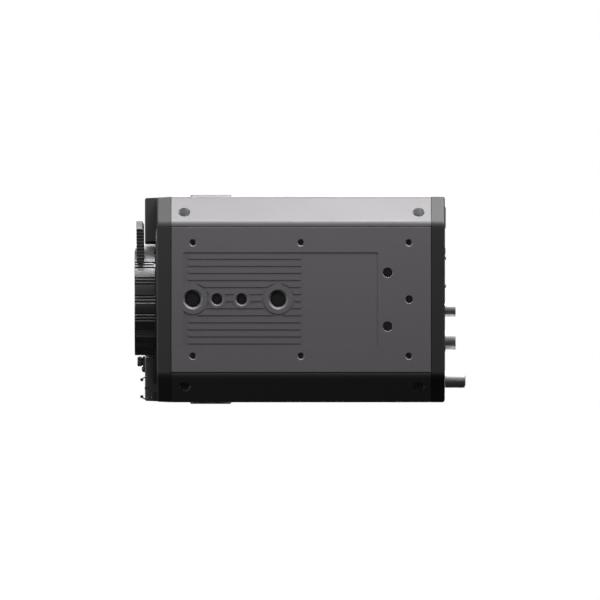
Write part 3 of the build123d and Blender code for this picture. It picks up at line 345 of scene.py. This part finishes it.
# Lens mount: a turned steel barrel, blackened against stray light and screwed to its seat in the front
# casting. The lens rests on a thin face ring of plain steel, held by small slotted screws.
barrel_black = surface(
    "barrel_black", (0.03, 0.03, 0.031), rough=0.45, grain=2500, depth=4e-6, metal=0.3, stretch=(1, 6, 1)
)
dress(barrel_black, "mount_barrel", "flange_screws")
dress(steel, "mount_face", "face_screws")


# Lens lock ring: turned from aluminium, with groups of V grooves and three spanner notches, and hard
# anodised in dark grey. It runs on the barrel, inside the casting's pocket.
ring_grey = surface(
    "ring_grey", (0.135, 0.135, 0.141), rough=0.34, grain=2400, depth=6e-6, metal=0.85, stretch=(1, 8, 1)
)
dress(ring_grey, "lens_lock_ring")


# Lock lever: a flat metal arm let into a notch of the ring and coated in dark grey, with grooves
# along its lower side for the thumb.
def crest_highlights(where):
    """The crests between the thumb's grooves on the lower side are painted bright: a painted highlight for
    the light they catch.
    """
    lens_height = 0.058
    lever_angle = math.radians(-40.8)
    first_crest = 0.03606
    crest_pitch = 0.00232
    crest_heights = (0.15, 0.65)
    low_side = (-0.0026, -0.0031)
    across = where.part("X")
    up = where.part("Z") - lens_height
    outward = across * math.cos(lever_angle) + up * math.sin(lever_angle) - first_crest
    beside = up * math.cos(lever_angle) - across * math.sin(lever_angle)
    wave = outward.math("COSINE", outward * (2 * math.pi / crest_pitch))
    return {
        "share": wave.ramp(*crest_heights) * beside.ramp(*low_side),
        "colour": (0.6, 0.6, 0.62, 1),
        "metal": 0.5,
        "rough": 0.4,
    }


lever_grey = surface(
    "lever_grey", (0.1, 0.1, 0.104), rough=0.5, grain=2400, depth=6e-6, metal=0.25, bare=crest_highlights
)
dress(lever_grey, "lock_lever")


# White balance button and tally lamp on the brow's face: a cap of dark grey plastic that slides in its
# hole against a spring, and a small dome of smoked clear plastic above it, with its stem behind.
button_grey = surface("button_grey", (0.12, 0.12, 0.125), rough=0.4, grain=1500, depth=20e-6)
dress(button_grey, "balance_button")
lamp_dark = surface("lamp_dark", (0.02, 0.012, 0.012), rough=0.08, grain=800, depth=3e-6, IOR=1.5)
dress(lamp_dark, "tally_lamp")


# Cable clip: a strip of tough black plastic bent into two open loops with beaded ends. One screw
# holds it to the lower front face.
clip_plastic = surface("clip_plastic", (0.035, 0.035, 0.037), rough=0.36, grain=1300, depth=15e-6)
dress(clip_plastic, "cable_clip")


# Rear casting and panel: a shallow die-cast frame in the same kind of coat as the front, and a punched
# aluminium plate, powder coated in black, that is screwed into its step and carries the connectors.
rear_black = surface(
    "rear_black",
    (0.0215, 0.0215, 0.022),
    rough=0.5,
    grain=2200,
    depth=50e-6,
    wear=0.1,
    Specular_IOR_Level=0.4,
)
dress(rear_black, "rear_casting")
cover_black = surface(
    "cover_black",
    (0.02, 0.02, 0.021),
    rough=0.62,
    grain=1900,
    depth=12e-6,
    wear=0.08,
    Specular_IOR_Level=0.2,
)
dress(cover_black, "rear_panel")


# Connectors: turned and nickel plated shells held in the rear panel's holes, and the square port's
# pressed shell. White insulators or black plastic inserts hold the gilt contacts.
nickel = surface(
    "nickel", (0.78, 0.77, 0.76), rough=0.46, grain=3000, depth=3e-6, metal=1.0, stretch=(1, 6, 1)
)
dress(nickel, "bnc_shells", "remote_shell", "power_shell", "port_shell")
white_plastic = surface("white_plastic", (0.75, 0.74, 0.7), rough=0.45, grain=1200, depth=10e-6)
dress(white_plastic, "bnc_insulators")
black_plastic = surface("black_plastic", (0.022, 0.022, 0.022), rough=0.42, grain=1500, depth=20e-6)
dress(black_plastic, "pin_inserts", "port_tongue")
gold = surface("gold_contact", (0.75, 0.52, 0.2), rough=0.25, grain=3000, depth=3e-6, metal=1.0)
dress(gold, "bnc_contacts", "contact_pins")


# Power switch and status lamps on the rear panel: a ribbed slider in its body, both moulded in black
# plastic, and two light pipes of clear plastic that end just proud of the face.
dress(black_plastic, "power_slider", "switch_body")
lamp_clear = surface("lamp_clear", (0.28, 0.29, 0.28), rough=0.2, grain=800, depth=4e-6, IOR=1.49)
dress(lamp_clear, "status_lamps")


# Boards and cooling: circuit boards under green lacquer on turned posts, an extruded heat sink on the
# main board's large chip, and a fan whose housing and rotor are moulded in black plastic.
board = surface("board_green", (0.015, 0.09, 0.04), rough=0.35, grain=900, depth=20e-6)
dress(board, "main_board", "supply_board", "connector_board", "front_switch_board", "sensor_boards")
alloy = surface("alloy", (0.5, 0.5, 0.51), rough=0.42, grain=1500, depth=20e-6, metal=1.0)
dress(alloy, "heat_sink", "board_posts")
dress(black_plastic, "fan_housing", "fan_rotor")


# Optics behind the lens: a toothed plastic wheel with three coated glasses, turning on a steel shaft
# and driven by a small motor's pinion, and a cemented glass prism between its milled cheeks.
dress(black_plastic, "filter_wheel", "filter_pinion")
dress(steel, "wheel_shaft", "filter_motor")
glass = surface("glass", (0.1, 0.12, 0.13), rough=0.08, grain=300, depth=2e-6, IOR=1.52)
dress(glass, "prism_block", "filter_glasses")
dress(alloy, "prism_holder")


# The room: white wherever the camera sees past the part, and almost dark for all other light, so that
# the soft boxes alone shape the part.
white = (1, 1, 1, 1)
world = bpy.data.worlds.new("room")
scene.world = world
world.use_nodes = True
tree = world.node_tree
dim = tree.nodes["Background"]
dim.inputs["Color"].default_value = white
dim.inputs["Strength"].default_value = 0.02
backdrop = Signal(tree).node("ShaderNodeBackground", {"Color": white, "Strength": 1.0})
camera_ray = Signal(tree).node("ShaderNodeLightPath", output="Is Camera Ray")
both = camera_ray.node("ShaderNodeMixShader", {0: camera_ray, 1: Signal(tree, dim.outputs[0]), 2: backdrop})
tree.links.new(both.socket, tree.nodes["World Output"].inputs["Surface"])


# Soft boxes: in the photo's view a large low light, a near one and a strong rear one on the side that
# the picture shows above, a weak one at the lens end and one below, and two that light the upper side.
def soft_box(name, place, aim_height, wide, tall, power):
    """A rectangular lamp, in metres and watts, aimed at a height on the part's upright middle line."""
    lamp = bpy.data.lights.new(name, "AREA")
    lamp.shape = "RECTANGLE"
    lamp.size = wide
    lamp.size_y = tall
    lamp.energy = power
    aim = Vector((0, 0, aim_height)) - Vector(place)
    holder = bpy.data.objects.new(name, lamp)
    holder.location = place
    holder.rotation_euler = aim.to_track_quat("-Z", "Y").to_euler()
    holder.visible_camera = False
    scene.collection.objects.link(holder)


soft_box("left_low_box", (0.996, 0, -0.575), aim_height=0.02, wide=1.2, tall=1.0, power=4.3)
soft_box("left_near_box", (0.398, 0, -0.062), aim_height=0.02, wide=0.4, tall=0.18, power=2.9)
soft_box("left_rear_box", (0.938, 0.657, -0.1), aim_height=0.02, wide=0.8, tall=0.7, power=21)
soft_box("front_box", (0, -1.133, -0.2), aim_height=0.02, wide=0.5, tall=0.4, power=5.7)
soft_box("under_box", (0, 0, -1.3), aim_height=0.02, wide=0.5, tall=0.5, power=0.3)
soft_box("top_box", (0.7, -0.2, 1.3), aim_height=0.06, wide=1.0, tall=1.0, power=24)
soft_box("right_box", (-0.45, 0.5, 1.5), aim_height=0.06, wide=0.8, tall=0.8, power=14)


# Floor: a pale matt board just under the base that keeps the part's shadow. It is clear from below,
# where the camera stands, and lets the lights below it through.
floor_reach = 3
floor_gap = 0.0004
floor_mesh = bpy.data.meshes.new("floor")
corners = [(-1, -1), (1, -1), (1, 1), (-1, 1)]
floor_mesh.from_pydata([(floor_reach * x, floor_reach * y, 0) for x, y in corners], [], [(0, 1, 2, 3)])
floor = bpy.data.objects.new("floor", floor_mesh)
floor.location = (0, 0, -floor_gap)
scene.collection.objects.link(floor)
floor_paint = bpy.data.materials.new("floor_paint")
floor_paint.use_nodes = True
tree = floor_paint.node_tree
paint = tree.nodes["Principled BSDF"]
paint.inputs["Base Color"].default_value = (0.92, 0.92, 0.92, 1)
paint.inputs["Roughness"].default_value = 0.8
clear = Signal(tree).node("ShaderNodeBsdfTransparent")
below = Signal(tree).node("ShaderNodeNewGeometry", output="Backfacing")
one_side = below.node("ShaderNodeMixShader", {0: below, 1: Signal(tree, paint.outputs[0]), 2: clear})
tree.links.new(one_side.socket, tree.nodes["Material Output"].inputs["Surface"])
floor_mesh.materials.append(floor_paint)
floor.visible_shadow = False
floor.visible_diffuse = False
floor.visible_glossy = False


# Camera: a very long lens straight below, with the part's lens end at the picture's left and the
# operator's left side at its top. The origin's place in the photo and the scale set where it stands.
picture_size = 600
points_per_metre = 1800
origin_across = 278.2
origin_down = 299.5
camera_data = bpy.data.cameras.new("camera")
camera_data.sensor_width = 36
camera_data.lens = 1700
camera_data.clip_end = 100
camera = bpy.data.objects.new("camera", camera_data)
distance = picture_size / points_per_metre * camera_data.lens / camera_data.sensor_width
x = (origin_down - picture_size / 2) / points_per_metre
y = (picture_size / 2 - origin_across) / points_per_metre
camera.matrix_world = Matrix(((0, 1, 0, x), (1, 0, 0, y), (0, 0, -1, -distance), (0, 0, 0, 1)))
scene.collection.objects.link(camera)
scene.camera = camera
